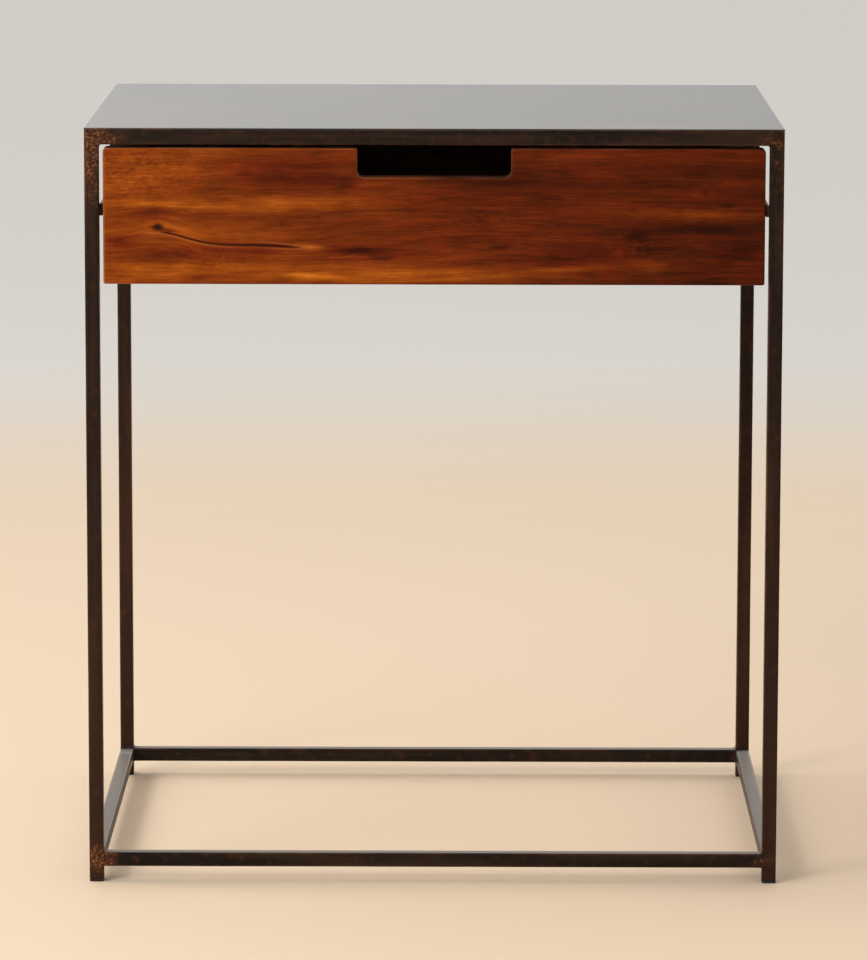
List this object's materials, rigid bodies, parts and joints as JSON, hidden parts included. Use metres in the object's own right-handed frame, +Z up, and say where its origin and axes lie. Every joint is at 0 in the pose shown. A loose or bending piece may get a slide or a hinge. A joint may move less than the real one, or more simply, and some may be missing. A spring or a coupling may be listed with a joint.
{
  "type": "side table with drawer",
  "caption": "Open side table: a slim square-bar metal frame with a flat sheet top, and a wooden drawer on side runners that opens by a finger notch in its front.",
  "frame": {"origin": "on the floor under the middle of the table", "axes": "+Z up, -Y the way the drawer front faces and opens, +X to the right of a person who faces the drawer front"},
  "size_m": [0.527, 0.4, 0.58],
  "materials": {
    "black_iron": "blackened, satin lacquer, coppery wear at the welded corners",
    "black_iron_sheet": "blackened, satin lacquer",
    "front_wood": "stained reddish brown, satin lacquer, strong horizontal grain",
    "box_wood": "stained, thin matt lacquer",
    "bottom_plywood": "veneered plywood, thin matt lacquer",
    "dowel_wood": "bare beech",
    "runner_nylon": "matt black",
    "screw_steel": "blackened",
    "pad_rubber": "matt black"
  },
  "bodies": {
    "frame": {"post_front_left": "black_iron", "post_front_right": "black_iron", "post_back_left": "black_iron", "post_back_right": "black_iron", "low_rail_front": "black_iron", "low_rail_back": "black_iron", "low_rail_left": "black_iron", "low_rail_right": "black_iron", "top_rail_front": "black_iron", "top_rail_back": "black_iron", "top_rail_left": "black_iron", "top_rail_right": "black_iron", "runner_strip_left": "black_iron", "runner_strip_right": "black_iron", "top_panel": "black_iron_sheet", "foot_pad_front_left": "pad_rubber", "foot_pad_front_right": "pad_rubber", "foot_pad_back_left": "pad_rubber", "foot_pad_back_right": "pad_rubber", "runner_left": "runner_nylon", "runner_right": "runner_nylon", "runner_screw_left_front": "screw_steel", "runner_screw_left_middle": "screw_steel", "runner_screw_left_rear": "screw_steel", "runner_screw_right_front": "screw_steel", "runner_screw_right_middle": "screw_steel", "runner_screw_right_rear": "screw_steel"},
    "drawer": {"drawer_front": "front_wood", "drawer_side_left": "box_wood", "drawer_side_right": "box_wood", "drawer_back": "box_wood", "drawer_bottom": "bottom_plywood", "stop_screw_left": "screw_steel", "stop_screw_right": "screw_steel", "dowel_front_left_lower": "dowel_wood", "dowel_front_left_upper": "dowel_wood", "dowel_front_right_lower": "dowel_wood", "dowel_front_right_upper": "dowel_wood", "dowel_back_left_lower": "dowel_wood", "dowel_back_left_upper": "dowel_wood", "dowel_back_right_lower": "dowel_wood", "dowel_back_right_upper": "dowel_wood", "bottom_screw_left": "screw_steel", "bottom_screw_middle": "screw_steel", "bottom_screw_right": "screw_steel"}
  },
  "joints": [
    {"name": "drawer_slide", "type": "slide", "parent": "frame", "child": "drawer", "axis": [0, -1, 0], "range_m": [0, 0.285]}
  ]
}
